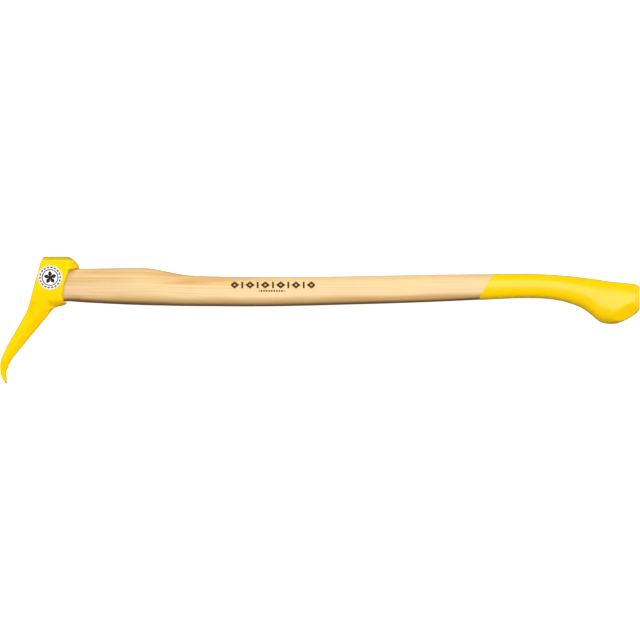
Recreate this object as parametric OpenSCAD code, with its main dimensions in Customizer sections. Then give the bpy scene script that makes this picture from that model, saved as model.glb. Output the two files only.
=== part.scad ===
// Log pick: a forged head with a long hooked beak, wedged on a curved wooden
// handle with a dipped grip. It lies on its side: +X runs from the head to the
// knob, +Y from the beak to the poll, +Z across the thickness.

/* [Overall] */
// Distance from the centre of the eye to the end of the knob
reach = 921.4; // [700:0.1:1050]
// Width of the head across its two cheeks
head_w = 44; // [40:0.5:52]

/* [Eye] */
// Height of the eye at its rear
eye_h = 50.6; // [46:0.2:50.6]
// Width of the eye at its rear
eye_w = 27; // [24:0.5:30]
// Gap between the tongue of the handle and the wall of the eye
fit = 0.08; // [0.04:0.02:0.2]

/* [Handle] */
// Thickness of the handle at its belly, across the cheeks
belly_w = 32; // [29:0.5:38]
// Thickness of the grip
grip_w = 28.4; // [25:0.2:32]
// Thickness of the knob
knob_w = 33.2; // [30:0.2:38]

/* [Dipped end] */
// Place of the dip line along the handle
dip_x = 687; // [667:5:697]
// Thickness of the lacquer
coat = 0.35; // [0.2:0.05:0.6]

/* [Wedges] */
// Thickness of the wooden wedge at the front of the eye
wedge_t = 5; // [3:0.5:7]
// Depth of the wooden wedge
wedge_depth = 45; // [36:1:52]
// Outer diameter of the ring wedge
ring_d = 14; // [10:0.5:18]
// Wall of the ring wedge
ring_wall = 1.5; // [1:0.1:2]
// Length of the ring wedge
ring_len = 14; // [8:1:18]

/* [Label] */
// Diameter of the label on the cheek
label_d = 38; // [24:1:38]
// Thickness of the label
label_t = 0.25; // [0.15:0.05:0.4]

/* [Hidden] */
tip_x = -78.6;            // foremost point of the beak
tip_y = -154.4;           // lowest point of the beak
poll_y = 44.3;            // flat top of the head
lug_x = 46;               // the upper lug ends just before this
lean = 0.272;             // lean of the front of the head
front_x = -25.35;         // front of the head at the height of the eye's centre
half = head_w / 2;
pts = 28;                 // points round a section of the handle

// The eye centre is the zero of every table below. The whole tool is moved so
// that the centre of its footprint is the origin and its rest cheek is at z = 0.
module place() translate([-(reach + tip_x) / 2, -(poll_y + tip_y) / 2, half]) children();

// ---- smooth curve through hand-chosen stations, without overshoot
function seg(t, x, i = 0) = (i >= len(t) - 2 || x < t[i + 1][0]) ? i : seg(t, x, i + 1);
function rise(t, i) = (t[i + 1][1] - t[i][1]) / (t[i + 1][0] - t[i][0]);
function slope(t, i) = i <= 0 ? rise(t, 0) : i >= len(t) - 1 ? rise(t, len(t) - 2)
    : let (a = rise(t, i - 1), b = rise(t, i)) a * b <= 0 ? 0 : 2 * a * b / (a + b);
function at(t, x) = let (i = seg(t, x), h = t[i + 1][0] - t[i][0],
    u = min(1, max(0, (x - t[i][0]) / h)), u2 = u * u, u3 = u2 * u)
    (2 * u3 - 3 * u2 + 1) * t[i][1] + (u3 - 2 * u2 + u) * h * slope(t, i)
    + (3 * u2 - 2 * u3) * t[i + 1][1] + (u3 - u2) * h * slope(t, i + 1);
function spow(v, p) = sign(v) * pow(abs(v), p);

// ---- closed skin over a row of rings with the same number of points
function skin(m, n) = [for (j = [0 : m - 2], i = [0 : n - 1], k = [0, 1])
    let (a = j * n + i, b = j * n + (i + 1) % n, c = a + n, d = b + n)
    k == 0 ? [a, c, d] : [a, d, b]];
module loft(rings) {
    m = len(rings);
    n = len(rings[0]);
    polyhedron([for (r = rings, p = r) p], concat([[for (i = [0 : n - 1]) i]],
        skin(m, n), [[for (i = [n - 1 : -1 : 0]) (m - 1) * n + i]]));
}

// ---- head: slices at constant height, from the tip of the beak to the poll
// Front edge
h_front = [[-154.4, -69.3], [-153, -70.4], [-151, -71.8], [-148, -74.2], [-143, -76.6], [-138, -78.1],
    [-131, -78.6], [-125, -78.5], [-118, -77.4], [-110, -74.7], [-100, -70.2], [-90, -64.8], [-80, -59.1],
    [-70, -53.4], [-60, -47.4], [-50, -42], [-42, -37.7], [-34, -34.3], [-26, -32.1], [-20, -30.6],
    [-10, -28], [0, -25.4], [27, -17.7], [31, -16.6], [35, -15.3], [38, -14.1], [41, -12.4], [43, -11.2], [44.3, -10]];
// Rear edge: inside of the beak, lower lug, hollow of the cheek, upper lug
h_rear = [[-154.4, -68.4], [-151, -68.2], [-146, -68.3], [-142, -68.7], [-138, -69.1], [-133, -68],
    [-128, -66.3], [-122, -63.5], [-115, -59.4], [-108, -54], [-100, -47.5], [-90, -39.1], [-80, -30.9],
    [-70, -22.8], [-60, -14.5], [-52, -7.7], [-46, -3], [-42, 0.2], [-39, 2.8], [-37, 4.6], [-35.4, 7.4],
    [-34.2, 10], [-33.4, 13], [-32.6, 17.5], [-31.2, 21.8], [-29.8, 24.2], [-28.6, 25.4], [-27.4, 25.6],
    [-26.6, 24], [-25.8, 22], [-24.2, 21], [-22.7, 20.2], [-21, 19.4], [-18, 18.9], [-12, 19.4], [-6, 20.5],
    [0, 21.8], [6, 23.4], [12, 25.6], [17, 27.6], [20, 29], [22.6, 31], [23.8, 35.4], [24.6, 39.5], [25.3, 44], [26.2, 45.5],
    [28, 45], [31, 43.7], [34, 41.8], [36, 40.2], [38, 38.1], [40, 35.6], [41.5, 33.5], [43, 30.8], [44.3, 28]];
// Half thickness
h_half = [[-154.4, 0.9], [-152.5, 2.3], [-149, 3.7], [-143, 5], [-133, 6.3], [-118, 8], [-102, 9.8],
    [-86, 11.7], [-70, 13.8], [-56, 16], [-46, 17.8], [-38, 19.2], [-31, 20.3], [-24, 21.2], [-16, 21.8], [-8, 22],
    [41.6, 22], [42.4, 21.8], [43.1, 21.1], [43.7, 19.8], [44.1, 18.2], [44.3, 16.4]];
// Where the bevel of the beak starts, as a share of its width
h_crease = [[-154.4, 0.52], [-42, 0.52], [-36, 0.48], [-32.8, 0.42], [-28, 0.34], [-22, 0.28], [44.3, 0.28]];
// Half thickness at the front edge and at three lines behind the crease, as shares of
// h_half: the top and the foot of the step under the lower lug, and the rear edge
h_lead = [[-154.4, 0.9], [-133, 0.9], [-118, 0.88], [-102, 0.85], [-86, 0.83], [-70, 0.82], [-56, 0.78], [-46, 0.79],
    [-38, 0.84], [-31, 0.92], [-24, 1], [44.3, 1]];
h_step = [[-154.4, 0.95], [-60, 0.95], [-42, 0.96], [-37.3, 0.97], [-34, 0.97], [-30, 0.99], [-26, 1], [44.3, 1]];
h_foot = [[-154.4, 0.9], [-60, 0.905], [-45, 0.92], [-40, 0.91], [-37.3, 0.78], [-35.6, 0.63], [-34.4, 0.62],
    [-33, 0.675], [-31.5, 0.74], [-30, 0.8], [-28.5, 0.86], [-27, 0.916], [-25.5, 0.96], [-24, 0.984],
    [-22.7, 0.995], [-21.5, 1], [44.3, 1]];
h_tail = [[-154.4, 0.75], [-140, 0.78], [-100, 0.82], [-60, 0.85], [-46, 0.87], [-40, 0.86], [-37.3, 0.73],
    [-35.6, 0.6], [-34.4, 0.59], [-33, 0.645], [-31.5, 0.71], [-30, 0.765], [-28.5, 0.828], [-27, 0.888],
    [-25.5, 0.935], [-24, 0.965], [-22, 1], [44.3, 1]];
// Where the top and the foot of that step lie, as shares of the way from the crease to the rear edge
h_su = [[-154.4, 0.35], [-45, 0.35], [-40, 0.66], [-37.3, 0.86], [-35.6, 0.81], [-34.4, 0.62], [-33.5, 0.48],
    [-32.6, 0.34], [-30, 0.22], [-26.6, 0.19], [-22, 0.28], [44.3, 0.34]];
h_fu = [[-154.4, 0.65], [-45, 0.65], [-40, 0.83], [-37.3, 0.95], [-35.6, 0.9], [-34.4, 0.74], [-33.5, 0.6],
    [-32.6, 0.45], [-30, 0.31], [-26.6, 0.28], [-22, 0.37], [44.3, 0.44]];
// Rounding of the front edges: along X and across
h_rfx = [[-154.4, 0.3], [-150, 1], [-140, 1.6], [-120, 2.2], [-60, 3], [44.3, 3]];
h_rfz = [[-154.4, 0.4], [-150, 1.4], [-140, 2.6], [-120, 3.4], [-60, 5], [-30, 4.6], [44.3, 4.4]];
// Rounding of the rear edges: along X, and as a share of the half thickness
h_rrx = [[-154.4, 0.3], [-148, 0.8], [-130, 1.1], [-60, 1.5], [-42, 1.4], [-37.3, 1.2], [-35.6, 1.6], [-34.4, 2.6],
    [-33.5, 5], [-32.6, 9], [-30, 10], [-27, 8], [-25, 5], [-22, 3.4], [-18, 3], [8, 3], [19, 3.6], [22.6, 6.5],
    [25.3, 18], [28, 18], [31, 16], [34, 13], [38, 9], [42, 7], [44.3, 6]];
h_rrz = [[-154.4, 0.6], [-60, 0.7], [-42, 0.75], [-33, 0.85], [-26, 0.93], [-22, 0.3], [-18, 0.2], [19, 0.2],
    [22.6, 0.5], [25.3, 0.92], [30, 0.93], [44.3, 0.9]];
h_rings = [-154.4, -153, -151, -148, -145, -141, -137, -131, -126, -120, -115, -110, -103, -96, -89, -82,
    -75, -68, -61, -55, -50, -46, -42.5, -39.5, -37.3, -35.6, -34.4, -33.5, -32.6, -31.5, -30, -28.6, -27.4,
    -26.4, -25.4, -24.4, -23.4, -22, -20, -17, -12, -6, 0, 6, 12, 16, 19.5, 21.6, 22.8, 23.8, 24.6, 25.2,
    25.8, 26.8, 28.5, 31, 34, 37, 39.5, 41.6, 42.6, 43.4, 44, 44.3];

// One side of a slice at height y, from the front edge to the rear edge: [x, z]
function h_side(y) = let (xf = at(h_front, y), xr = at(h_rear, y), w = xr - xf, t = at(h_half, y) * half / 22,
    tf = t * at(h_lead, y), rx = min(at(h_rfx, y), 0.4 * w), rz = min(at(h_rfz, y), 0.8 * tf),
    xc = xf + at(h_crease, y) * w, xs = xc + at(h_su, y) * (xr - xc), xt = xc + at(h_fu, y) * (xr - xc),
    ts = t * at(h_step, y), tt = t * at(h_foot, y), tr = t * at(h_tail, y),
    qx = min(at(h_rrx, y), 0.9 * (xr - xt)), qz = at(h_rrz, y))
    concat([for (a = [0 : 22.5 : 90]) [xf + rx * (1 - cos(a)), tf - rz * (1 - sin(a))]],
        [[xc, t], [xs, ts], [xt, tt]],
        [for (a = [0 : 18 : 90]) let (x = xr - qx * (1 - sin(a)),
            r = tt + (tr - tt) * (x - xt) / (xr - xt)) [x, r - qz * tr * (1 - cos(a))]]);
function h_slice(y) = let (s = h_side(y), n = len(s))
    concat([for (p = s) [p[0], y, p[1]]], [for (i = [n - 1 : -1 : 0]) [s[i][0], y, -s[i][1]]]);

// ---- eye: an oval that widens towards the front of the head
function eye_a(x) = eye_h / 2 + 0.0116 * (lug_x - x);
function eye_b(x) = eye_a(x) * eye_w / eye_h;
// Oval of height a above and c below its widest line yc, b to each side
function oval(a, c, b, n, m, yc) = [for (i = [0 : pts - 1]) let (t = 360 * i / pts, up = cos(t) >= 0, e = up ? n : m)
    [yc + (up ? a : c) * spow(cos(t), 2 / e), b * spow(sin(t), 2 / e)]];
module eye_hole() loft([for (x = [-60, 80])
    [for (p = oval(eye_a(x), eye_a(x), eye_b(x), 2.3, 2.3, 0)) [x, p[0], p[1]]]]);

module pick_head() place() color("gold") difference() {
    loft([for (y = h_rings) h_slice(y)]);
    eye_hole();
}

// ---- handle: sections across its length, from the tongue to the knob
s_top = [[lug_x, eye_h / 2 - fit], [80, 26], [110, 26.5], [140, 26.8], [152, 26.4], [164, 24.7], [176, 22.2],
    [190, 19.4], [205, 16.7], [222, 14.8], [250, 13.6], [300, 12.7], [345, 12.4], [400, 12.8], [470, 13.7],
    [540, 15.1], [625, 16.6], [700, 17.2], [745, 17.3], [775, 16.2], [813, 13.4], [845, 9.6], [876, 5.1],
    [900, 2.7], [912, 1.3], [918, -0.7], [921.4, -3]];
s_bottom = [[30, -eye_a(30) + fit], [50, -27], [78, -28.6], [110, -30.2], [140, -31.3], [172, -32.1],
    [211, -32.9], [258, -33.2], [300, -33.5], [345, -33.3], [400, -32.3], [470, -30.5], [540, -28.5],
    [625, -25.2], [690, -22.1], [742, -20.1], [766, -20.5], [782, -21.9], [798, -24.3], [813, -28.5],
    [829, -34.8], [845, -45.6], [853, -52.8], [860, -57.5], [868, -59.9], [876, -60.6], [884, -60.1],
    [892, -57.6], [900, -54], [908, -49.4], [914, -45.4], [918, -42.3], [921.4, -36.5]];
s_half = [[30, eye_b(30) - fit], [36, eye_b(36) + 0.15], [46, eye_b(46) + 0.6], [70, 0.96 * belly_w / 2], [110, belly_w / 2],
    [145, belly_w / 2], [180, 0.96 * belly_w / 2], [240, 1.02 * grip_w / 2], [345, grip_w / 2],
    [640, 0.98 * grip_w / 2], [745, 0.96 * grip_w / 2], [790, 1.0 * grip_w / 2], [825, 0.94 * knob_w / 2],
    [860, knob_w / 2], [905, knob_w / 2], [910.5, 0.995 * knob_w / 2], [913, 0.94 * knob_w / 2],
    [917, 0.82 * knob_w / 2], [921.4, 0.68 * knob_w / 2]];
// Fullness of the section above and below its widest line: 2 is an ellipse, more is squarer
s_upper = [[46, 2.3], [500, 2.3], [640, 2.15], [700, 2.02], [790, 2.02], [826, 1.88], [876, 1.84], [901, 1.84],
    [921.4, 2.05]];
s_lower = [[46, 2.3], [58, 2.9], [85, 3.1], [120, 2.6], [300, 2.6], [600, 2.7], [745, 2.8], [800, 2.85], [826, 2.65],
    [851, 2.5], [860, 2.2], [869, 2.1], [878, 2.35], [890, 3.2], [901, 3.6], [921.4, 3.4]];
// How far the widest line lies below the middle
s_sink = [[46, 0], [836, 0], [850, -2.2], [860, -6.6], [869, -8.6], [878, -9.9], [901, -10.2], [921.4, -6]];
dip_y = 0.593;            // tilt of the dip line across the height
dip_z = -0.35;            // tilt of the dip line across the thickness
s_rings = [30, 38, 46, 54, 64, 78, 94, 112, 130, 142, 150, 158, 166, 174, 182, 190, 198, 207, 217, 230, 248,
    272, 305, 345, 385, 425, 465, 505, 545, 580, 610, dip_x - 52, dip_x - 32, dip_x - 15];
d_rings = [dip_x, dip_x + 15, dip_x + 31, 733, 748, 762, 775, 787, 797, 806, 814, 822, 829, 836, 843, 850,
    857, 864, 871, 878, 885, 892, 900, 906, 910.5, 914, 917.5, 921.4];

// The sides of the knob are cut back along a slanting line: half thickness left at x, y
function s_cut(x, y) = 1e3 * (x < 850 ? 1 : 0) + knob_w / 2
    - 0.335 * max(0, ((x - 875.6) * 0.535 - (y + 48) * 0.845));
// Section at x, enlarged by g on every side: [y, z] of each point
function s_section(x, g) = let (tp = (x < lug_x ? eye_a(x) - fit : at(s_top, x)) + g,
    bt = (x < 30 ? fit - eye_a(x) : at(s_bottom, x)) - g,
    b = (x < 30 ? eye_b(x) - fit : at(s_half, x)) + g, wide = (tp + bt) / 2 + at(s_sink, x))
    [for (p = oval(tp - wide, wide - bt, b, at(s_upper, x), at(s_lower, x), wide))
        [p[0], sign(p[1]) * min(abs(p[1]), s_cut(x, p[0]) + g)]];
// Near the dip line the sections tilt, so that one of them lies along it
function tilt(x) = max(0, 1 - abs(x - dip_x) / 60);
function stretch(x) = x < lug_x ? x : lug_x + (x - lug_x) * (reach - lug_x) / (921.4 - lug_x);
function s_ring(x, g, back) = let (w = tilt(x), s = s_section(x, g))
    [for (i = [0 : pts - 1]) let (xi = x + w * (dip_y * s[i][0] + dip_z * s[i][1]),
        p = w > 0 ? s_section(xi, g)[i] : s[i]) [stretch(xi) - back, p[0], p[1]]];
// Foremost section: the tongue ends along the leaning front of the head
function s_front() = let (x0 = front_x + 0.3)
    [for (i = [0 : pts - 1]) let (t = 360 * i / pts, c = spow(cos(t), 2 / 2.3), s = spow(sin(t), 2 / 2.3),
        k = 0.0116, x = (x0 + lean * c * (eye_a(0) - fit)) / (1 + lean * c * k))
        [x, c * (eye_a(x) - fit), s * (eye_b(x) - fit)]];

module front_cut() translate([front_x + 0.3, 0, 0]) rotate([0, 0, -atan(lean)]) translate([-60, -60, -40])
    cube([60, 120, 80]);
// Wedge shape: thick at the front of the eye, thin at its inner end
module wedge_shape(w, h) rotate([90, 0, 0]) linear_extrude(height = h, center = true)
    polygon([[front_x - 12, w / 2 + 0.3], [front_x + wedge_depth, 0.5], [front_x + wedge_depth, -0.5],
        [front_x - 12, -w / 2 - 0.3]]);
module ring_shape(g) translate([front_x + 0.3, 0, 0]) rotate([0, 0, -atan(lean)]) rotate([0, 90, 0])
    difference() {
        translate([0, 0, -g * 10]) cylinder(h = ring_len + g * 10, d = ring_d + 2 * g, $fn = 64);
        translate([0, 0, -g * 10 - 1]) cylinder(h = ring_len + g * 10 + 2, d = ring_d - 2 * ring_wall - 2 * g, $fn = 64);
    }

module handle() place() color("burlywood") difference() {
    loft(concat([s_front()], [for (x = s_rings) s_ring(x, 0, 0)],
        [for (x = d_rings) s_ring(x, 0, x > 921 ? coat : 0)]));
    wedge_shape(wedge_t, 80);
    ring_shape(0.02);
}

module wood_wedge() place() color("saddlebrown") difference() {
    translate([0, 0, 0]) wedge_shape(wedge_t - 0.06, eye_h - 2);
    front_cut();
    ring_shape(0.02);
}

module ring_wedge() place() color("dimgray") ring_shape(0);

// ---- lacquer skin: outer rings, then the wood's own surface as its inside
module grip_coating() place() color("yellow") {
    m = len(d_rings);
    outer = [for (x = d_rings) s_ring(x, coat, 0)];
    inner = [for (x = d_rings) s_ring(x, 0, x > 921 ? coat : 0)];
    polyhedron(concat([for (r = outer, p = r) p], [for (r = inner, p = r) p]),
        concat(skin(m, pts), [[for (i = [pts - 1 : -1 : 0]) (m - 1) * pts + i]],
            [for (f = skin(m, pts)) [f[2] + m * pts, f[1] + m * pts, f[0] + m * pts]],
            [[for (i = [0 : pts - 1]) (2 * m - 1) * pts + i]],
            [for (i = [0 : pts - 1], k = [0, 1]) let (a = i, b = (i + 1) % pts, c = a + m * pts, d = b + m * pts)
                k == 0 ? [a, b, d] : [a, d, c]]));
}

// ---- round label, stuck on the flat of the near cheek
module cheek_label() place() color("white") translate([-0.3, 11.7, half])
    cylinder(h = label_t, d = label_d, $fn = 96);

pick_head();
handle();
wood_wedge();
ring_wedge();
grip_coating();
cheek_label();
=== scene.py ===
import math

import bpy
import numpy as np
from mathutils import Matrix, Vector


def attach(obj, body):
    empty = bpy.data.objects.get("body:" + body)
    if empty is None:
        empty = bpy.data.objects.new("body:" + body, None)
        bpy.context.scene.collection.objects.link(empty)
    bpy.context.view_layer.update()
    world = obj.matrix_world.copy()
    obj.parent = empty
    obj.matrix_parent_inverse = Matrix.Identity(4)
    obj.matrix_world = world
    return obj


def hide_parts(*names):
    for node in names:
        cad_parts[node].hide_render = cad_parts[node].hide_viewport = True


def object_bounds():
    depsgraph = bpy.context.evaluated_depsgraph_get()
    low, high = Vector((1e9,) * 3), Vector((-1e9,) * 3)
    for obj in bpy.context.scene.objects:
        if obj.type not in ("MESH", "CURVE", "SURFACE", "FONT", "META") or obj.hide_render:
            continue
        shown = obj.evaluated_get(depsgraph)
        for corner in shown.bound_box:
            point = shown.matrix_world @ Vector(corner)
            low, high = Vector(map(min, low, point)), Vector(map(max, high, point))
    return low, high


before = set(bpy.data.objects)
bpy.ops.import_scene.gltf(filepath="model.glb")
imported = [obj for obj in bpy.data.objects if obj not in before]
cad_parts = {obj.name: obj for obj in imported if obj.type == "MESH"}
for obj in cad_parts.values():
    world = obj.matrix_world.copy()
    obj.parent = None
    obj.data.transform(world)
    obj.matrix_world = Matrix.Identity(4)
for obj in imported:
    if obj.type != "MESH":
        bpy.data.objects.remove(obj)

CAD_BOX = [list(c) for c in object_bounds()]

# ---------------------------------------------------------------------------------------------
# Camera: straight down on the tool, which lies on its side, as in the photo
# ---------------------------------------------------------------------------------------------
scene = bpy.context.scene
scene.view_settings.view_transform = "Standard"
scene.view_settings.look = "None"
scene.view_settings.exposure = 0.0
scene.view_settings.gamma = 1.0

MM = 0.001
FRAME_W = 1.00094          # width of the view in the middle plane of the tool
LENS = 1000.0             # very long lens: the photo shows no perspective
cam_data = bpy.data.cameras.new("camera")
cam_data.sensor_width = 36.0
cam_data.lens = LENS
cam_data.clip_start = 1.0
cam_data.clip_end = 60.0
camera = bpy.data.objects.new("camera", cam_data)
scene.collection.objects.link(camera)
camera.location = (0.00008, 0.0003, 0.022 + FRAME_W * LENS / 36.0)
camera.rotation_euler = (0.0, 0.0, 0.0)
scene.camera = camera

# ---------------------------------------------------------------------------------------------
# Shape: the same stations as the CAD model, in millimetres from the eye's centre
# ---------------------------------------------------------------------------------------------
SHIFT = np.array([-421.4, 55.05, 22.0])
LUG_X, LEAN, FRONT_X = 46.0, 0.272, -25.35
EYE_H, EYE_W, FIT = 50.6, 27.0, 0.08
BELLY, GRIP, KNOB = 32.0, 28.4, 33.2
DIP_X, DIP_Y, DIP_Z = 687.0, 0.593, -0.35
COAT = 0.35
END = 921.4


def at(table, x):
    """Smooth curve through the stations of a table, without overshoot."""
    t = np.asarray(table, float)
    xs, ys = t[:, 0], t[:, 1]
    d = np.diff(ys) / np.diff(xs)
    m = np.empty(len(xs))
    m[0], m[-1] = d[0], d[-1]
    a, b = d[:-1], d[1:]
    s = np.where(a + b == 0, 1.0, a + b)
    m[1:-1] = np.where(a * b <= 0, 0.0, 2 * a * b / s)
    x = np.asarray(x, float)
    i = np.clip(np.searchsorted(xs, x, side="right") - 1, 0, len(xs) - 2)
    h = xs[i + 1] - xs[i]
    u = np.clip((x - xs[i]) / h, 0, 1)
    u2, u3 = u * u, u * u * u
    return ((2 * u3 - 3 * u2 + 1) * ys[i] + (u3 - 2 * u2 + u) * h * m[i]
            + (3 * u2 - 2 * u3) * ys[i + 1] + (u3 - u2) * h * m[i + 1])


def smooth(lo, hi, x):
    u = np.clip((np.asarray(x, float) - lo) / (hi - lo), 0, 1)
    return u * u * (3 - 2 * u)


H_FRONT = [[-154.4, -69.3], [-153, -70.4], [-151, -71.8], [-148, -74.2], [-143, -76.6], [-138, -78.1],
    [-131, -78.6], [-125, -78.5], [-118, -77.4], [-110, -74.7], [-100, -70.2], [-90, -64.8], [-80, -59.1],
    [-70, -53.4], [-60, -47.4], [-50, -42], [-42, -37.7], [-34, -34.3], [-26, -32.1], [-20, -30.6],
    [-10, -28], [0, -25.4], [27, -17.7], [31, -16.6], [35, -15.3], [38, -14.1], [41, -12.4], [43, -11.2], [44.3, -10]]
H_REAR = [[-154.4, -68.4], [-151, -68.2], [-146, -68.3], [-142, -68.7], [-138, -69.1], [-133, -68],
    [-128, -66.3], [-122, -63.5], [-115, -59.4], [-108, -54], [-100, -47.5], [-90, -39.1], [-80, -30.9],
    [-70, -22.8], [-60, -14.5], [-52, -7.7], [-46, -3], [-42, 0.2], [-39, 2.8], [-37, 4.6], [-35.4, 7.4],
    [-34.2, 10], [-33.4, 13], [-32.6, 17.5], [-31.2, 21.8], [-29.8, 24.2], [-28.6, 25.4], [-27.4, 25.6],
    [-26.6, 24], [-25.8, 22], [-24.2, 21], [-22.7, 20.2], [-21, 19.4], [-18, 18.9], [-12, 19.4], [-6, 20.5],
    [0, 21.8], [6, 23.4],
    [12, 25.6], [17, 27.6], [20, 29], [22.6, 31], [23.8, 35.4], [24.6, 39.5], [25.3, 44], [26.2, 45.5],
    [28, 45], [31, 43.7], [34, 41.8], [36, 40.2], [38, 38.1], [40, 35.6], [41.5, 33.5], [43, 30.8], [44.3, 28]]
H_HALF = [[-154.4, 0.9], [-152.5, 2.3], [-149, 3.7], [-143, 5], [-133, 6.3], [-118, 8], [-102, 9.8],
    [-86, 11.7], [-70, 13.8], [-56, 16], [-46, 17.8], [-38, 19.2], [-31, 20.3], [-24, 21.2], [-16, 21.8], [-8, 22],
    [41.6, 22], [42.4, 21.8], [43.1, 21.1], [43.7, 19.8], [44.1, 18.2], [44.3, 16.4]]
# crease: its place as a share of the width; the front face falls away from it by this share
H_CREASE = [[-154.4, 0.52], [-42, 0.52], [-36, 0.48], [-32.8, 0.42], [-28, 0.34], [-22, 0.28], [44.3, 0.28]]
H_LEAD = [[-154.4, 0.9], [-133, 0.9], [-118, 0.88], [-102, 0.85], [-86, 0.83], [-70, 0.82], [-56, 0.78], [-46, 0.79],
    [-38, 0.84], [-31, 0.92], [-24, 1], [44.3, 1]]
H_STEP = [[-154.4, 0.95], [-60, 0.95], [-42, 0.96], [-37.3, 0.97], [-34, 0.97], [-30, 0.99], [-26, 1], [44.3, 1]]
H_FOOT = [[-154.4, 0.9], [-60, 0.905], [-45, 0.92], [-40, 0.91], [-37.3, 0.78], [-35.6, 0.63], [-34.4, 0.62],
    [-33, 0.675], [-31.5, 0.74], [-30, 0.8], [-28.5, 0.86], [-27, 0.916], [-25.5, 0.96], [-24, 0.984],
    [-22.7, 0.995], [-21.5, 1], [44.3, 1]]
H_TAIL = [[-154.4, 0.75], [-140, 0.78], [-100, 0.82], [-60, 0.85], [-46, 0.87], [-40, 0.86], [-37.3, 0.73],
    [-35.6, 0.6], [-34.4, 0.59], [-33, 0.645], [-31.5, 0.71], [-30, 0.765], [-28.5, 0.828], [-27, 0.888],
    [-25.5, 0.935], [-24, 0.965], [-22, 1], [44.3, 1]]
H_SU = [[-154.4, 0.35], [-45, 0.35], [-40, 0.66], [-37.3, 0.86], [-35.6, 0.81], [-34.4, 0.62], [-33.5, 0.48],
    [-32.6, 0.34], [-30, 0.22], [-26.6, 0.19], [-22, 0.28], [44.3, 0.34]]
H_FU = [[-154.4, 0.65], [-45, 0.65], [-40, 0.83], [-37.3, 0.95], [-35.6, 0.9], [-34.4, 0.74], [-33.5, 0.6],
    [-32.6, 0.45], [-30, 0.31], [-26.6, 0.28], [-22, 0.37], [44.3, 0.44]]
H_RFX = [[-154.4, 0.3], [-150, 1], [-140, 1.6], [-120, 2.2], [-60, 3], [44.3, 3]]
H_RFZ = [[-154.4, 0.4], [-150, 1.4], [-140, 2.6], [-120, 3.4], [-60, 5], [-30, 4.6], [44.3, 4.4]]
H_RRX = [[-154.4, 0.3], [-148, 0.8], [-130, 1.1], [-60, 1.5], [-42, 1.4], [-37.3, 1.2], [-35.6, 1.6], [-34.4, 2.6],
    [-33.5, 5], [-32.6, 9], [-30, 10], [-27, 8], [-25, 5], [-22, 3.4], [-18, 3], [8, 3], [19, 3.6], [22.6, 6.5],
    [25.3, 18], [28, 18], [31, 16], [34, 13], [38, 9], [42, 7], [44.3, 6]]
H_RRZ = [[-154.4, 0.6], [-60, 0.7], [-42, 0.75], [-33, 0.85], [-26, 0.93], [-22, 0.3], [-18, 0.2], [19, 0.2],
    [22.6, 0.5], [25.3, 0.92], [30, 0.93], [44.3, 0.9]]
S_TOP = [[LUG_X, EYE_H / 2 - FIT], [80, 26], [110, 26.5], [140, 26.8], [152, 26.4], [164, 24.7], [176, 22.2],
    [190, 19.4], [205, 16.7], [222, 14.8], [250, 13.6], [300, 12.7], [345, 12.4], [400, 12.8], [470, 13.7],
    [540, 15.1], [625, 16.6], [700, 17.2], [745, 17.3], [775, 16.2], [813, 13.4], [845, 9.6], [876, 5.1],
    [900, 2.7], [912, 1.3], [918, -0.7], [921.4, -3]]
S_BOTTOM = [[30, -EYE_H / 2 - 0.0116 * (LUG_X - 30) + FIT], [50, -27], [78, -28.6], [110, -30.2], [140, -31.3],
    [172, -32.1], [211, -32.9], [258, -33.2], [300, -33.5], [345, -33.3], [400, -32.3], [470, -30.5],
    [540, -28.5], [625, -25.2], [690, -22.1], [742, -20.1], [766, -20.5], [782, -21.9], [798, -24.3],
    [813, -28.5], [829, -34.8], [845, -45.6], [853, -52.8], [860, -57.5], [868, -59.9], [876, -60.6],
    [884, -60.1], [892, -57.6], [900, -54], [908, -49.4], [914, -45.4], [918, -42.3], [921.4, -36.5]]


def eye_a(x):
    return EYE_H / 2 + 0.0116 * (LUG_X - x)


def eye_b(x):
    return eye_a(x) * EYE_W / EYE_H


S_HALF = [[30, eye_b(30) - FIT], [36, eye_b(36) + 0.15], [46, eye_b(46) + 0.6], [70, 0.96 * BELLY / 2], [110, BELLY / 2],
    [145, BELLY / 2], [180, 0.96 * BELLY / 2], [240, 1.02 * GRIP / 2], [345, GRIP / 2],
    [640, 0.98 * GRIP / 2], [745, 0.96 * GRIP / 2], [790, 1.0 * GRIP / 2], [825, 0.94 * KNOB / 2],
    [860, KNOB / 2], [905, KNOB / 2], [910.5, 0.995 * KNOB / 2], [913, 0.94 * KNOB / 2], [917, 0.82 * KNOB / 2],
    [921.4, 0.68 * KNOB / 2]]
# exponent of the section above and below its widest line, and how far that line lies below the middle
S_UPPER = [[46, 2.3], [500, 2.3], [640, 2.15], [700, 2.02], [790, 2.02], [826, 1.88], [876, 1.84], [901, 1.84], [921.4, 2.05]]
S_LOWER = [[46, 2.3], [58, 2.9], [85, 3.1], [120, 2.6], [300, 2.6], [600, 2.7], [745, 2.8], [800, 2.85], [826, 2.65],
    [851, 2.5], [860, 2.2], [869, 2.1], [878, 2.35], [890, 3.2], [901, 3.6], [921.4, 3.4]]
S_SINK = [[46, 0], [836, 0], [850, -2.2], [860, -6.6], [869, -8.6], [878, -9.9], [901, -10.2], [921.4, -6]]


def oval(phi, a, b, n):
    """Point of a superellipse in the direction phi, for half axes a and b and exponent n."""
    c, s = np.cos(phi), np.sin(phi)
    r = (np.abs(c) ** n + np.abs(s) ** n) ** (-1.0 / n)
    return a * r * c, b * r * s


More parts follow.
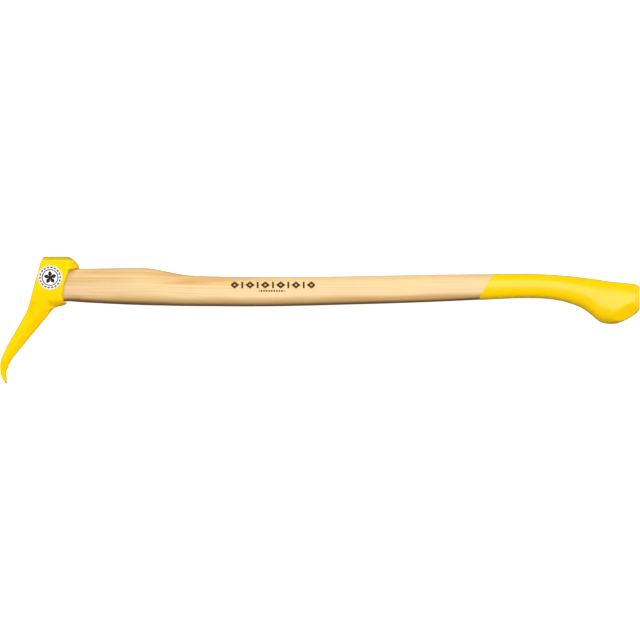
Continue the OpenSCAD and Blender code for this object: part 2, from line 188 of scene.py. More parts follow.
def section(x, phi, g):
    """Surface point of the handle at x, enlarged by g on every side: y and z."""
    x = np.asarray(x, float)
    tp = np.where(x < LUG_X, eye_a(x) - FIT, at(S_TOP, x)) + g
    bt = np.where(x < 30, FIT - eye_a(x), at(S_BOTTOM, x)) - g
    b = np.where(x < 30, eye_b(x) - FIT, at(S_HALF, x)) + g
    wide = (tp + bt) / 2 + at(S_SINK, x)
    up = np.cos(phi) >= 0
    y, z = oval(phi, np.where(up, tp - wide, wide - bt), b, np.where(up, at(S_UPPER, x), at(S_LOWER, x)))
    y = y + wide
    # the knob's sides are cut back along a slanting line, with a softly rounded edge
    u = (x - 875.6) * 0.535 - (y + 48) * 0.845
    u = 0.5 * (u + np.sqrt(u * u + 1.1))
    cut = KNOB / 2 + 0.3 * np.maximum(0, 850 - x) - 0.335 * u + g
    w = np.abs(z)
    d = w - cut
    w = np.where(x > 840, cut + 0.5 * (d - np.sqrt(d * d + 0.12)), w)
    return y, np.sign(z) * np.minimum(np.abs(z), w)


def ring(x, phi, g):
    """Ring of the handle; near the dip line the rings tilt until they lie along it."""
    w = max(0.0, 1 - abs(x - DIP_X) / 60)
    y, z = section(np.full(len(phi), x), phi, g)
    xi = x + w * (DIP_Y * y + DIP_Z * z)
    if w > 0:
        y, z = section(xi, phi, g)
    return np.stack([xi, y, z], 1)


# ---------------------------------------------------------------------------------------------
# Mesh helpers
# ---------------------------------------------------------------------------------------------
def to_row(p):
    return (np.asarray(p, float) + SHIFT) * MM


def make(name, verts, faces, smooth_angle=38.0):
    """Mesh object from points in design millimetres."""
    me = bpy.data.meshes.new(name)
    me.from_pydata([tuple(v) for v in to_row(verts)], [], [tuple(int(i) for i in f) for f in faces])
    me.validate()
    me.update()
    ob = bpy.data.objects.new(name, me)
    scene.collection.objects.link(ob)
    finish_normals(me, smooth_angle)
    return ob


def finish_normals(me, smooth_angle):
    import bmesh
    bm = bmesh.new()
    bm.from_mesh(me)
    bmesh.ops.recalc_face_normals(bm, faces=bm.faces)
    bm.to_mesh(me)
    bm.free()
    me.polygons.foreach_set("use_smooth", [True] * len(me.polygons))
    me.set_sharp_from_angle(angle=math.radians(smooth_angle))
    me.update()


def skin(m, n, base=0, flip=False):
    """Quads over m rings of n points."""
    j, i = np.meshgrid(np.arange(m - 1), np.arange(n), indexing="ij")
    a = base + j * n + i
    b = base + j * n + (i + 1) % n
    q = np.stack([a, b, b + n, a + n], -1).reshape(-1, 4)
    return [list(r[::-1]) if flip else list(r) for r in q]


def cap_rings(last, shares, bulge=0.0, axis=0):
    """Rings that close an end: the last ring drawn in towards its centre."""
    c = last.mean(0)
    out = []
    for s in shares:
        r = c + (last - c) * s
        r[:, axis] += bulge * (1 - s * s)
        out.append(r)
    return out


def loft(name, rings, ends=(0.82, 0.6, 0.36, 0.16), angle=38.0, bulge=(0.0, 0.0), axis=0):
    """Closed solid over rings of equal length, with concentric rings on both ends."""
    first = cap_rings(rings[0], ends, bulge[0], axis)[::-1]
    last = cap_rings(rings[-1], ends, bulge[1], axis)
    allr = first + list(rings) + last
    n = len(rings[0])
    m = len(allr)
    verts = np.concatenate(allr + [allr[0].mean(0)[None], allr[-1].mean(0)[None]])
    faces = skin(m, n)
    c0, c1 = m * n, m * n + 1
    for i in range(n):
        k = (i + 1) % n
        faces.append([c0, k, i])
        faces.append([c1, (m - 1) * n + i, (m - 1) * n + k])
    return make(name, verts, faces, angle)


def cut(ob, cutters, angle=38.0):
    """Boolean differences, made final at once."""
    for c in cutters:
        mod = ob.modifiers.new("cut", "BOOLEAN")
        mod.operation = "DIFFERENCE"
        mod.solver = "EXACT"
        mod.object = c
    dg = bpy.context.evaluated_depsgraph_get()
    me = bpy.data.meshes.new_from_object(ob.evaluated_get(dg))
    ob.modifiers.clear()
    old = ob.data
    ob.data = me
    bpy.data.meshes.remove(old)
    me.name = ob.name
    for c in cutters:
        bpy.data.objects.remove(c)
    me.polygons.foreach_set("use_smooth", [True] * len(me.polygons))
    me.set_sharp_from_angle(angle=math.radians(angle))
    me.update()
    return ob


def coords(ob):
    co = np.zeros(len(ob.data.vertices) * 3)
    ob.data.vertices.foreach_get("co", co)
    return co.reshape(-1, 3) / MM - SHIFT


def attribute(ob, name, values):
    a = ob.data.attributes.new(name, "FLOAT", "POINT")
    a.data.foreach_set("value", np.asarray(values, np.float32))


# ---------------------------------------------------------------------------------------------
# Head: slices at constant height, from the tip of the beak to the poll
# ---------------------------------------------------------------------------------------------
def corner(p, q, r, size, n):
    """n points that round the corner q between p and r; all are arrays over the slices."""
    d0, d1 = p - q, r - q
    l0 = np.linalg.norm(d0, axis=1, keepdims=True)
    l1 = np.linalg.norm(d1, axis=1, keepdims=True)
    k = np.minimum(size, 0.45 * np.minimum(l0, l1))
    a = q + d0 / np.maximum(l0, 1e-9) * k
    b = q + d1 / np.maximum(l1, 1e-9) * k
    t = np.linspace(0, 1, n)[None, :, None]
    return (1 - t) ** 2 * a[:, None] + 2 * t * (1 - t) * q[:, None] + t ** 2 * b[:, None]


def between(a, b, n):
    """n points strictly between a and b."""
    t = (np.arange(1, n + 1) / (n + 1))[None, :, None]
    return a[:, None] * (1 - t) + b[:, None] * t


def head_slices(ys):
    xf, xr, t = at(H_FRONT, ys), at(H_REAR, ys), at(H_HALF, ys)
    w = xr - xf
    tf = t * at(H_LEAD, ys)
    rx, rz = np.minimum(at(H_RFX, ys), 0.4 * w), np.minimum(at(H_RFZ, ys), 0.8 * tf)
    xc = xf + at(H_CREASE, ys) * w
    xs, xt = xc + at(H_SU, ys) * (xr - xc), xc + at(H_FU, ys) * (xr - xc)
    ts, tt, tr = t * at(H_STEP, ys), t * at(H_FOOT, ys), t * at(H_TAIL, ys)
    qx, qz = np.minimum(at(H_RRX, ys), 0.9 * (xr - xt)), at(H_RRZ, ys)
    col = lambda a: np.asarray(a)[:, None]
    a = np.radians(np.linspace(0, 90, 11))[None]
    front = np.stack([col(xf) + col(rx) * (1 - np.cos(a)), col(tf) - col(rz) * (1 - np.sin(a))], -1)
    p0 = np.stack([xf + rx, tf], 1)
    p1 = np.stack([xc, t], 1)
    p2 = np.stack([xs, ts], 1)
    p3 = np.stack([xt, tt], 1)
    a = np.radians(np.linspace(0, 90, 13))[None]
    x = col(xr) - col(qx) * (1 - np.sin(a))
    r = col(tt) + col(tr - tt) * (x - col(xt)) / col(xr - xt)
    rear = np.stack([x, r - col(qz * tr) * (1 - np.cos(a))], -1)
    p4 = rear[:, 0]
    c1, c2, c3 = corner(p0, p1, p2, 2.2, 6), corner(p1, p2, p3, 1.6, 6), corner(p2, p3, p4, 1.6, 6)
    side = np.concatenate([front, between(front[:, -1], c1[:, 0], 8), c1, between(c1[:, -1], c2[:, 0], 3), c2,
        between(c2[:, -1], c3[:, 0], 5), c3, between(c3[:, -1], rear[:, 0], 4), rear], 1)
    # narrow faces: a slight crown and the trimmed flash line of the forging
    def narrow(x0, z0, sign, n):
        v = np.linspace(1, -1, n + 2)[1:-1][None]
        z = col(z0) * v
        k = np.clip(col(z0) / 6, 0, 1)
        dx = 0.4 * k * v * v + 0.22 * k * (1 - np.exp(-(z / 0.75) ** 2)) * (1 - v ** 4)
        return np.stack([col(x0) + sign * dx, z], -1)
    rearf = narrow(side[:, -1, 0], side[:, -1, 1], -1, 13)
    frontf = narrow(side[:, 0, 0], side[:, 0, 1], 1, 13)[:, ::-1]
    low = side[:, ::-1] * np.array([1.0, -1.0])
    full = np.concatenate([side, rearf, low, frontf], 1)
    yy = np.broadcast_to(col(ys), full.shape[:2])
    return np.stack([full[..., 0], yy, full[..., 1]], -1)


def steps(*parts):
    out = []
    for a, b, s in parts:
        n = max(1, int(round((b - a) / s)))
        out += list(np.linspace(a, b, n, endpoint=False))
    return np.array(out + [parts[-1][1]])


def build_head():
    ys = steps((-154.4, -149, 0.45), (-149, -60, 1.1), (-60, -46, 0.75), (-46, -19, 0.36), (-19, 17, 1.2),
        (17, 29, 0.36), (29, 41, 0.8), (41, 44.3, 0.16))
    g = head_slices(ys)
    # unevenness left by the hammer, on the beak only
    x, y, z = g[..., 0], g[..., 1], g[..., 2]
    k = smooth(-44, -62, y) * smooth(-154, -140, y)
    z = z * (1 - 0.012 * k * (1 + np.sin(y / 6.1 + x / 9.7) * np.sin(y / 10.3 - x / 5.9)))
    x = x + 0.1 * k * np.sin(y / 7.7) * np.where(x > -60, 1, 0) * 0.5
    g = np.stack([x, y, z], -1)
    head = loft("forged_pick_head", [r for r in g], ends=(0.86, 0.6, 0.3), angle=42, axis=1)

    # the eye, with a rounded rim at both mouths
    n = 144
    phi = np.linspace(0, 2 * math.pi, n, endpoint=False)
    a0 = EYE_H / 2 + 0.0116 * LUG_X
    c, s = oval(phi, 1.0, 1.0, 2.3)
    rings = []

    def leaning(x0, f):
        xx = (x0 + LEAN * c * (a0 + f)) / (1 + LEAN * c * 0.0116)
        return np.stack([xx, c * (eye_a(xx) + f), s * (eye_b(xx) + f)], 1)

    for x0, f in ((-20, 9.0), (-2, 1.9), (-0.6, 1.55), (0.0, 1.2), (0.15, 0.9), (0.45, 0.55), (0.9, 0.25), (1.5, 0.06),
                  (2.2, 0.0)):
        rings.append(leaning(FRONT_X + x0, f))
    xr = np.full(n, 20.0)
    for _ in range(60):
        xr = 0.7 * xr + 0.3 * at(H_REAR, c * eye_a(xr))
    for back, f in ((9, 0), (1.6, 0.0), (0.9, 0.03), (0.5, 0.1), (0.22, 0.2), (0.05, 0.33), (-0.3, 0.42), (-3, 0.5),
                    (-60, 0.55)):
        xx = xr - back
        rings.append(np.stack([xx, c * (eye_a(xx) + f), s * (eye_b(xx) + f)], 1))
    tool = loft("eye_cutter", rings, ends=(0.5,), angle=60)
    return cut(head, [tool], 42)


# ---------------------------------------------------------------------------------------------
# Handle, its wedges and its dipped end
# ---------------------------------------------------------------------------------------------
def build_handle():
    n = 96
    phi = np.linspace(0, 2 * math.pi, n, endpoint=False)
    c, s = oval(phi, 1.0, 1.0, 2.3)
    a0 = EYE_H / 2 + 0.0116 * LUG_X - FIT

    def tongue(x0, f=0.0):
        xx = (x0 + LEAN * c * a0) / (1 + LEAN * c * 0.0116)
        return np.stack([xx, c * (eye_a(xx) - FIT - f), s * (eye_b(xx) - FIT - f)], 1)

    x0 = FRONT_X + 0.3
    rings = [tongue(x0, 0.5), tongue(x0 + 0.12, 0.22), tongue(x0 + 0.5, 0.0)]
    first = tongue(x0 + 0.5)
    last = ring(30.0, phi, 0)
    for u in np.linspace(0, 1, 14)[1:-1]:
        rings.append(first * (1 - u) + last * u)
    for x in steps((30, 60, 1.2), (60, 700, 2.2), (700, 790, 3), (790, END - 0.8, 2)):
        rings.append(ring(x, phi, -0.04 * float(smooth(DIP_X + 1, DIP_X + 6, x))))
    handle = loft("ash_handle", rings, angle=35)

    kerf = wedge_body("kerf_cutter", 5.0 / 2, 40.0, 12.0, 0)
    groove = ring_body("groove_cutter", 0.02, 30.0, False)
    return cut(handle, [kerf, groove], 35)


def wedge_body(name, half_t, half_h, front, bevel):
    """Flat wedge, thick at the front of the eye; its section is rounded by a small bevel."""
    depth = FRONT_X + 45.0
    xs = np.linspace(FRONT_X - front, depth, 40)
    rings = []
    for x in xs:
        u = (x - (FRONT_X - 12)) / (depth - (FRONT_X - 12))
        t = (half_t + 0.3) * (1 - u) + 0.5 * u
        h = half_h
        b = min(bevel, 0.4 * t)
        pts = []
        for sy, sz in ((1, 1), (-1, 1), (-1, -1), (1, -1)):
            quarter = [(h - b + b * math.sin(q), t - b + b * math.cos(q)) for q in np.linspace(0, math.pi / 2, 5)]
            if b == 0:
                quarter = [(h, t)]
            if sy * sz < 0:
                quarter = quarter[::-1]
            pts += [(x, sy * p, sz * r) for p, r in quarter]
        rings.append(np.array(pts))
    return loft(name, rings, ends=(0.5,), angle=50)


def ring_frame(p):
    """From the ring's own axes (axis, across, thickness) to design axes: its axis is square to the leaning front."""
    k = math.atan(LEAN)
    x, y, z = p[..., 0], p[..., 1], p[..., 2]
    return np.stack([FRONT_X + 0.3 + x * math.cos(k) + y * math.sin(k), -x * math.sin(k) + y * math.cos(k), z], -1)


def ring_body(name, gap, front, detail):
    """Short steel tube. The real one has a ground edge at its inner end and a hammered front."""
    ro, ri, length = 7.0 + gap, 5.5 - gap, 14.0 + gap
    n = 96
    if detail:
        prof = [(0.18, ri), (0.0, ri + 0.18), (-0.0, ri + 0.45), (0.0, ro - 0.4), (0.06, ro - 0.16), (0.25, ro)]
        prof += [(x, ro) for x in np.linspace(1.5, length - 3.0, 8)]
        prof += [(length - 0.15, ri + 0.35), (length, ri + 0.2), (length - 0.1, ri + 0.05), (length - 0.6, ri)]
        prof += [(x, ri) for x in np.linspace(length - 2, 1.2, 8)]
    else:
        prof = [(-front, ri), (-front, ro), (length, ro), (length, ri)]
    a = np.linspace(0, 2 * math.pi, n, endpoint=False)
    p = np.array([[[x, r * math.cos(q), r * math.sin(q)] for q in a] for x, r in prof])
    if detail:
        k = np.exp(-p[..., 0:1] / 0.8) * 0.06
        p[..., 0:1] += k * (1 + np.sin(5 * a)[None, :, None] * 0.6)
    p = ring_frame(p)
    m = len(prof)
    verts = p.reshape(-1, 3)
    faces = skin(m, n)
    for i in range(n):
        k = (i + 1) % n
        faces.append([(m - 1) * n + i, (m - 1) * n + k, k, i])
    return make(name, verts, faces, 40)


def build_wedge():
    w = wedge_body("hardwood_wedge", (5.0 - 0.06) / 2, (EYE_H - 2) / 2, 11.0, 0.0)
    # sawn off along the leaning front of the head
    k = math.atan(LEAN)
    box = []
    for x in (-60.0, 0.35):
        for y in (-50.0, 50.0):
            for z in (-30.0, 30.0):
                px = x * math.cos(k) + y * math.sin(k)
                py = -x * math.sin(k) + y * math.cos(k)
                box.append((FRONT_X + 0.3 + px - 0.35, py, z))
    v = np.array(box)
    f = [[0, 1, 3, 2], [4, 6, 7, 5], [0, 4, 5, 1], [2, 3, 7, 6], [0, 2, 6, 4], [1, 5, 7, 3]]
    front = make("front_cutter", v, f)
    groove = ring_body("groove_cutter2", 0.02, 30.0, False)
    return cut(w, [front, groove], 35)


def build_coating():
    n = 112
    phi = np.linspace(0, 2 * math.pi, n, endpoint=False)
    outer = []
    # rounded lip where the lacquer ends on the wood
    for dx, g in ((-0.95, 0.0), (-0.92, 0.1), (-0.8, 0.2), (-0.55, 0.3), (-0.15, 0.39), (0.45, 0.46), (1.2, 0.48),
                  (2.3, 0.44), (3.8, 0.38), (5.5, 0.35)):
        outer.append(ring(DIP_X + dx, phi, g))
    for x in steps((DIP_X + 7.5, 790, 2.2), (790, 908, 1.4), (908, END, 0.6)):
        outer.append(ring(x, phi, COAT))
    end = cap_rings(outer[-1], (0.985, 0.95, 0.88, 0.75, 0.55, 0.35, 0.16), 0.0)
    outer += end
    inner = [ring(x, phi, 0) for x in steps((DIP_X - 0.95, 790, 3), (790, END - COAT, 2.2))]
    inner[-1][:, 0] = END - COAT
    inner += cap_rings(inner[-1], (0.8, 0.5, 0.2))
    mo, mi = len(outer), len(inner)
    verts = np.concatenate(outer + inner + [outer[-1].mean(0)[None], inner[-1].mean(0)[None]])
    faces = skin(mo, n) + skin(mi, n, mo * n, True)
    co, ci = (mo + mi) * n, (mo + mi) * n + 1
    for i in range(n):
        k = (i + 1) % n
        faces.append([co, (mo - 1) * n + i, (mo - 1) * n + k])
        faces.append([ci, (mo + mi - 1) * n + k, (mo + mi - 1) * n + i])
        faces.append([i, mo * n + i, mo * n + k, k])
    return make("dipped_grip_end", verts, faces, 50)


def build_label():
    """Thin film with a rounded edge."""
    n = 160
    a = np.linspace(0, 2 * math.pi, n, endpoint=False)
    prof = [(18.95, 0.0), (19.0, 0.06), (18.99, 0.15), (18.93, 0.21), (18.8, 0.242), (18.5, 0.25), (17.0, 0.25),
            (14.0, 0.25), (11.0, 0.25), (8.0, 0.25), (5.0, 0.25), (2.0, 0.25)]
    rings = [np.stack([-0.3 + r * np.cos(a), 11.7 + r * np.sin(a), np.full(n, 22.0 + z)], 1) for r, z in prof]
    verts = np.concatenate(rings + [np.array([[-0.3, 11.7, 22.25]]), np.array([[-0.3, 11.7, 22.0]])])
    m = len(prof)
    faces = skin(m, n)
    for i in range(n):
        k = (i + 1) % n
        faces.append([m * n, (m - 1) * n + i, (m - 1) * n + k])
        faces.append([m * n + 1, k, i])
    return make("cheek_sticker", verts, faces, 40)


# ---------------------------------------------------------------------------------------------
# Materials
# ---------------------------------------------------------------------------------------------
class Graph:
    """Short way to write a node material."""

    def __init__(self, name):
        self.mat = bpy.data.materials.new(name)
        self.mat.use_nodes = True
        self.nt = self.mat.node_tree
        self.nt.nodes.clear()
        self.out = self.nt.nodes.new("ShaderNodeOutputMaterial")
        self.bsdf = self.nt.nodes.new("ShaderNodeBsdfPrincipled")
        self.nt.links.new(self.bsdf.outputs[0], self.out.inputs["Surface"])

    def node(self, kind, **props):
        n = self.nt.nodes.new(kind)
        for k, v in props.items():
            setattr(n, k, v)
        return n

    def put(self, sock, value):
        if isinstance(value, bpy.types.NodeSocket):
            self.nt.links.new(value, sock)
        elif value is not None:
            sock.default_value = value

    def math(self, op, a, b=None, c=None, clamp=False):
        n = self.node("ShaderNodeMath", operation=op, use_clamp=clamp)
        self.put(n.inputs[0], a)
        if b is not None:
            self.put(n.inputs[1], b)
        if c is not None:
            self.put(n.inputs[2], c)
        return n.outputs[0]

    def vmath(self, op, a, b=None):
        n = self.node("ShaderNodeVectorMath", operation=op)
        self.put(n.inputs[0], a)
        if b is not None:
            self.put(n.inputs[1], b)
        return n.outputs[0]

    def place(self):
        """Object coordinates in millimetres from the eye's centre."""
        c = self.node("ShaderNodeTexCoord").outputs["Object"]
        n = self.node("ShaderNodeVectorMath", operation="MULTIPLY_ADD")
        self.put(n.inputs[0], c)
        n.inputs[1].default_value = (1000, 1000, 1000)
        n.inputs[2].default_value = tuple(-SHIFT)
        return n.outputs[0]

    def xyz(self, v):
        n = self.node("ShaderNodeSeparateXYZ")
        self.put(n.inputs[0], v)
        return n.outputs[0], n.outputs[1], n.outputs[2]

    def join(self, x, y, z):
        n = self.node("ShaderNodeCombineXYZ")
        self.put(n.inputs[0], x)
        self.put(n.inputs[1], y)
        self.put(n.inputs[2], z)
        return n.outputs[0]

    def noise(self, v, scale=(1, 1, 1), detail=2.0, rough=0.5, distort=0.0):
        n = self.node("ShaderNodeTexNoise")
        self.put(n.inputs["Vector"], self.vmath("MULTIPLY", v, scale))
        n.inputs["Scale"].default_value = 1.0
        n.inputs["Detail"].default_value = detail
        n.inputs["Roughness"].default_value = rough
        n.inputs["Distortion"].default_value = distort
        return n.outputs[0]

    def cells(self, v, scale=(1, 1, 1), feature="F1", out="Distance", rand=1.0):
        n = self.node("ShaderNodeTexVoronoi", feature=feature)
        self.put(n.inputs["Vector"], self.vmath("MULTIPLY", v, scale))
        n.inputs["Scale"].default_value = 1.0
        n.inputs["Randomness"].default_value = rand
        return n.outputs[out]

    def remap(self, v, a, b, c=0.0, d=1.0, smooth_=False):
        n = self.node("ShaderNodeMapRange", interpolation_type="SMOOTHSTEP" if smooth_ else "LINEAR", clamp=True)
        self.put(n.inputs["Value"], v)
        for k, x in (("From Min", a), ("From Max", b), ("To Min", c), ("To Max", d)):
            self.put(n.inputs[k], x)
        return n.outputs[0]

    def mix(self, f, a, b, blend="MIX"):
        n = self.node("ShaderNodeMix", data_type="RGBA", blend_type=blend, clamp_factor=True)
        self.put(n.inputs[0], f)
        self.put(n.inputs[6], a if isinstance(a, bpy.types.NodeSocket) else (*a, 1.0))
        self.put(n.inputs[7], b if isinstance(b, bpy.types.NodeSocket) else (*b, 1.0))
        return n.outputs[2]

    def bell(self, v, centre, width):
        """1 at the centre, falling smoothly to 0 at the given distance."""
        d = self.math("ABSOLUTE", self.math("SUBTRACT", v, centre))
        return self.remap(d, 0.0, width, 1.0, 0.0, True)

    def ramp(self, f, stops, interp="LINEAR"):
        n = self.node("ShaderNodeValToRGB")
        n.color_ramp.interpolation = interp
        e = n.color_ramp.elements
        while len(e) > 1:
            e.remove(e[-1])
        e[0].position = stops[0][0]
        e[0].color = (*stops[0][1], 1.0)
        for p, col in stops[1:]:
            q = e.new(p)
            q.color = (*col, 1.0)
        self.put(n.inputs[0], f)
        return n.outputs[0]

    def attr(self, name):
        return self.node("ShaderNodeAttribute", attribute_name=name).outputs["Fac"]

    def bump(self, height, strength=1.0, distance=0.0001, normal=None):
        n = self.node("ShaderNodeBump")
        n.inputs["Strength"].default_value = strength
        n.inputs["Distance"].default_value = distance
        self.put(n.inputs["Height"], height)
        if normal is not None:
            self.put(n.inputs["Normal"], normal)
        return n.outputs[0]

    def set(self, **values):
        names = {"color": "Base Color", "rough": "Roughness", "metal": "Metallic", "spec": "Specular IOR Level",
                 "coat": "Coat Weight", "coat_rough": "Coat Roughness", "ior": "IOR", "normal": "Normal",
                 "tint": "Specular Tint", "coat_tint": "Coat Tint", "sss": "Subsurface Weight",
                 "coat_normal": "Coat Normal", "coat_ior": "Coat IOR"}
        for k, v in values.items():
            if isinstance(v, tuple) and len(v) == 3:
                v = (*v, 1.0)
            self.put(self.bsdf.inputs[names[k]], v)
        return self.mat


def paint_material():
    """Satin yellow enamel on the forging: faint orange peel, a rubbed tip, painted sheen on the cheek's rear edge and
    painted shade along the poll's edge.
    """
    g = Graph("head_paint")
    p = g.place()
    x, y, z = g.xyz(p)
    cloud = g.noise(p, (0.03, 0.03, 0.03), 3.0, 0.55)
    fine = g.noise(p, (0.35, 0.35, 0.35), 2.0, 0.5)
    base = g.mix(g.remap(cloud, 0.3, 0.7), (0.87, 0.523, 0.0), (0.91, 0.553, 0.0))
    # painted sheen: a lighter strip on the rounded rear edge of the cheek, standing in for the paint's reflection
    # there
    base = g.mix(g.math("MULTIPLY", g.attr("rear_edge_sheen"), 0.45), base, (0.96, 0.62, 0.010))
    # painted shade: an olive band along the rounded edge of the poll, where the edge turns away from the light
    narrow_band = g.math("MULTIPLY", g.attr("poll_edge_shade"), g.remap(fine, 0.25, 0.6, 0.75, 1.0))
    base = g.mix(g.math("MULTIPLY", narrow_band, 0.95), base, (0.47, 0.335, 0.010))
    # rubbed tip: bare steel shows through the paint
    rub = g.math("ADD", g.attr("tip"), g.math("MULTIPLY", g.math("SUBTRACT", g.noise(p, (0.9, 0.5, 0.9), 4.0, 0.6), 0.5), 0.9))
    bare = g.remap(rub, 0.55, 0.72)
    base = g.mix(bare, base, (0.42, 0.41, 0.38))
    rough = g.remap(fine, 0.3, 0.7, 0.42, 0.52)
    rough = g.math("SUBTRACT", rough, g.math("MULTIPLY", bare, 0.1))
    peel = g.noise(p, (1.1, 1.1, 1.1), 2.0, 0.5)
    forged = g.noise(p, (0.12, 0.12, 0.12), 3.0, 0.6)
    n1 = g.bump(forged, 0.25, 0.0006)
    n2 = g.bump(peel, 0.18, 0.00008, n1)
    return g.set(color=base, rough=rough, metal=g.math("MULTIPLY", bare, 0.8), spec=0.16, tint=(1.0, 0.62, 0.10), normal=n2)


def grain(g, p, tilt, spacing, wander):
    """Nearly plane growth rings, tilted about the long axis: ring phase 0 to 1, and the wandered place."""
    off = g.node("ShaderNodeTexNoise", noise_dimensions="3D")
    g.put(off.inputs["Vector"], g.vmath("MULTIPLY", p, (0.0035, 0.012, 0.012)))
    off.inputs["Scale"].default_value = 1.0
    off.inputs["Detail"].default_value = 2.0
    shift = g.vmath("MULTIPLY", g.vmath("SUBTRACT", off.outputs["Color"], (0.5, 0.5, 0.5)), (0.0, wander, wander))
    q = g.vmath("ADD", p, shift)
    x, y, z = g.xyz(q)
    r = g.math("ADD", g.math("MULTIPLY", y, math.cos(tilt)), g.math("MULTIPLY", z, math.sin(tilt)))
    r = g.math("ADD", r, g.math("MULTIPLY", g.noise(q, (0.0012, 0.07, 0.07), 1.0), 5.0))
    return g.math("FRACT", g.math("ADD", g.math("DIVIDE", r, spacing), 20.0)), q, x, y, z


def wood_material():
    """Straight-grained ash under a thin varnish."""
    g = Graph("ash_wood")
    p = g.place()
    x0, y0, z0 = g.xyz(p)
    # the fibres follow half of the handle's curve
    lie = g.join(x0, g.attr("lie"), z0)
    phase, q, x, y, z = grain(g, lie, 0.5, 4.6, 3.0)
    f = g.attr("depth")                      # 0 at the upper edge, 1 at the lower edge
    early = g.ramp(phase, [(0.0, (1, 1, 1)), (0.12, (0.8, 0.8, 0.8)), (0.42, (0.2, 0.2, 0.2)),
        (0.84, (0.0, 0.0, 0.0)), (0.93, (0.3, 0.3, 0.3)), (1.0, (1, 1, 1))])
    bands = g.noise(q, (0.0024, 0.24, 0.10), 2.0, 0.55)
    streak = g.noise(q, (0.004, 0.55, 0.40), 3.0, 0.6)
    fibre = g.noise(q, (0.02, 2.4, 2.4), 3.0, 0.6)
    slow = g.noise(q, (0.005, 0.03, 0.03), 1.0, 0.5)
    # ground colour across the height, partly the wood's own tone and partly painted light and shade: tan and darker in
    # the upper band where the lamp falls strongest, paler below the middle, so the handle's shading reads flat
    pale = g.ramp(f, [(0.0, (0.78, 0.57, 0.300)), (0.16, (0.745, 0.540, 0.268)), (0.32, (0.700, 0.500, 0.242)),
        (0.50, (0.725, 0.525, 0.272)), (0.64, (0.775, 0.575, 0.312)), (0.74, (0.79, 0.580, 0.308)), (1.0, (0.74, 0.50, 0.240))])
    lift = g.math("ADD", g.remap(x, 120, 430, 0.0, 0.55, True), g.remap(slow, 0.35, 0.65, -0.25, 0.25))
    pale = g.mix(g.math("MULTIPLY", lift, 1.0, clamp=True), pale, g.mix(1.0, pale, (1.025, 1.035, 1.13), "MULTIPLY"))
    tone = g.math("MULTIPLY", early, g.remap(f, 0.35, 0.75, 0.26, 0.10, True))
    tone = g.math("ADD", tone, g.remap(bands, 0.34, 0.66, -0.20, 0.82))
    vivid = g.remap(x0, 110, 260, 1.75, 1.0, True)
    tone = g.math("ADD", tone, g.math("MULTIPLY", vivid, g.remap(streak, 0.30, 0.70, -0.36, 0.42)))
    tone = g.math("ADD", tone, g.remap(fibre, 0.3, 0.7, -0.12, 0.12))
    tan = g.mix(1.0, pale, (0.885, 0.80, 0.655), "MULTIPLY")
    col = g.mix(g.math("MULTIPLY", tone, 0.85, clamp=True), pale, tan)
    # warm streaks of heartwood along the upper side, behind the shoulder
    warm = g.math("MULTIPLY", g.remap(x, 120, 190, 0.25, 1.0, True), g.remap(x, 250, 400, 1.0, 0.12, True))
    rib = g.noise(q, (0.0045, 0.24, 0.16), 2.0, 0.5)
    warm = g.math("MULTIPLY", warm, g.math("MULTIPLY", g.remap(f, 0.36, 0.18, 0.0, 1.0, True), g.remap(rib, 0.38, 0.62, 0.35, 1.0)))
    col = g.mix(g.math("MULTIPLY", warm, 0.95), col, g.mix(1.0, col, (0.86, 0.68, 0.46), "MULTIPLY"))
    knot = g.math("MULTIPLY", g.bell(x, 208, 56), g.bell(y0, 3.5, 4.2))
    col = g.mix(g.math("MULTIPLY", knot, 0.75), col, g.mix(1.0, col, (0.82, 0.64, 0.44), "MULTIPLY"))
    # pale streaks along the belly: a broad one below the middle, partly the wood's own tone and partly painted light
    # for the varnish's broad sheen, and a fine one above it
    broad = g.math("MULTIPLY", g.bell(y0, -8.0, 9.0), g.remap(x0, 120, 200, 1.0, 0.0, True))
    light = g.math("MULTIPLY", broad, g.remap(streak, 0.3, 0.65, 1.0, 0.6), clamp=True)
    col = g.mix(light, col, g.mix(1.0, col, (1.04, 1.11, 1.25), "MULTIPLY"))
    narrow_band = g.math("MULTIPLY", g.bell(y0, 14.1, 3.0), g.remap(x0, 150, 190, 1.0, 0.0, True))
    col = g.mix(narrow_band, col, g.mix(1.0, col, (1.06, 1.13, 1.29), "MULTIPLY"))
    # a tan band just below it, next to the head
    band = g.math("MULTIPLY", g.remap(y0, -9.0, 5.0, 0.0, 1.0, True), g.remap(y0, 9.5, 13.0, 1.0, 0.0, True))
    band = g.math("MULTIPLY", band, g.remap(x0, 100, 140, 1.0, 0.0, True))
    col = g.mix(band, col, g.mix(1.0, col, (0.95, 0.91, 0.85), "MULTIPLY"))
    # a warm streak along the neck, and a paler lower half before it
    neck = g.math("MULTIPLY", g.bell(y0, 7.0, 4.4), g.math("MULTIPLY", g.remap(x0, 190, 215, 0.0, 1.0, True), g.remap(x0, 270, 300, 1.0, 0.0, True)))
    col = g.mix(neck, col, g.mix(1.0, col, (0.93, 0.86, 0.69), "MULTIPLY"))
    under = g.math("MULTIPLY", g.remap(x0, 140, 175, 0.0, 1.0, True), g.remap(x0, 225, 265, 1.0, 0.0, True))
    under = g.math("MULTIPLY", under, g.remap(y0, -3.0, -10.0, 0.0, 1.0, True))
    col = g.mix(under, col, g.mix(1.0, col, (1.0, 1.045, 1.12), "MULTIPLY"))
    # two darker streaks beside the fine one
    dark = g.math("MULTIPLY", g.bell(y0, 19.6, 4.6), g.math("MULTIPLY", g.remap(x0, 40, 58, 0.0, 1.0, True), g.remap(x0, 140, 175, 1.0, 0.0, True)))
    line = g.math("MULTIPLY", g.bell(y0, 10.3, 2.3), g.remap(x0, 90, 130, 0.7, 0.0, True))
    col = g.mix(g.math("ADD", dark, line, clamp=True), col, g.mix(1.0, col, (0.94, 0.90, 0.76), "MULTIPLY"))
